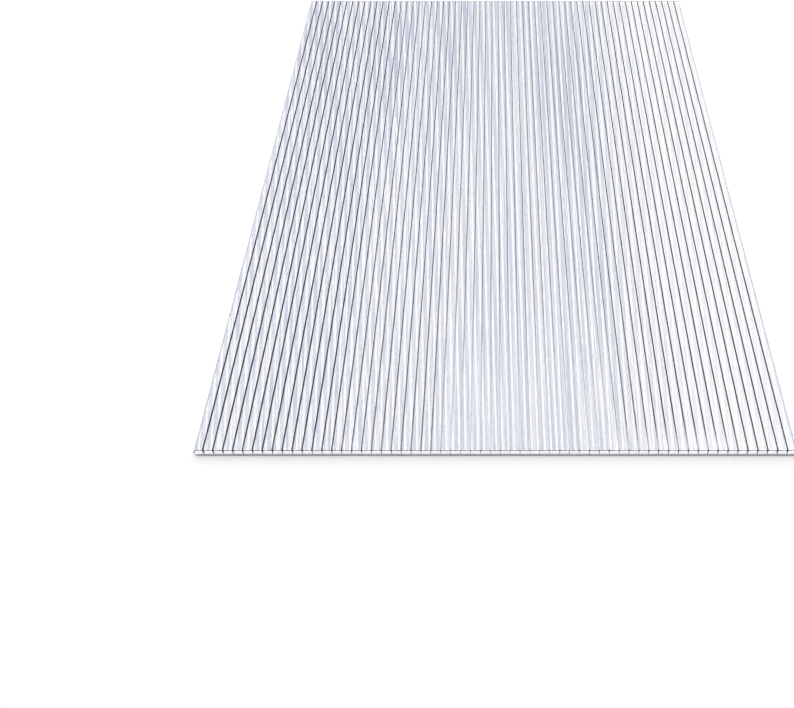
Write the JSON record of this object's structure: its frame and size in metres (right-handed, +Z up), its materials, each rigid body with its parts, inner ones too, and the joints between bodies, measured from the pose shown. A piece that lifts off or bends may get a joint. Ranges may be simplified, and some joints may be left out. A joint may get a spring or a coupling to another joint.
{
  "type": "multiwall polycarbonate sheet",
  "caption": "Clear twin-wall plastic glazing sheet: two thin skins joined by upright ribs, with open flutes along its length and closed, rounded long sides.",
  "frame": {"origin": "middle of the bottom face, the face that the sheet lies on", "axes": "+Y along the flutes and the sheet's length, +X across the flutes, +Z up through the thickness"},
  "size_m": [0.6096, 0.9144, 0.008],
  "materials": {
    "clear_polycarbonate": "clear, glossy extruded plastic, with saw-cut open ends"
  },
  "bodies": {
    "root": {"twinwall_sheet": "clear_polycarbonate"}
  },
  "joints": []
}
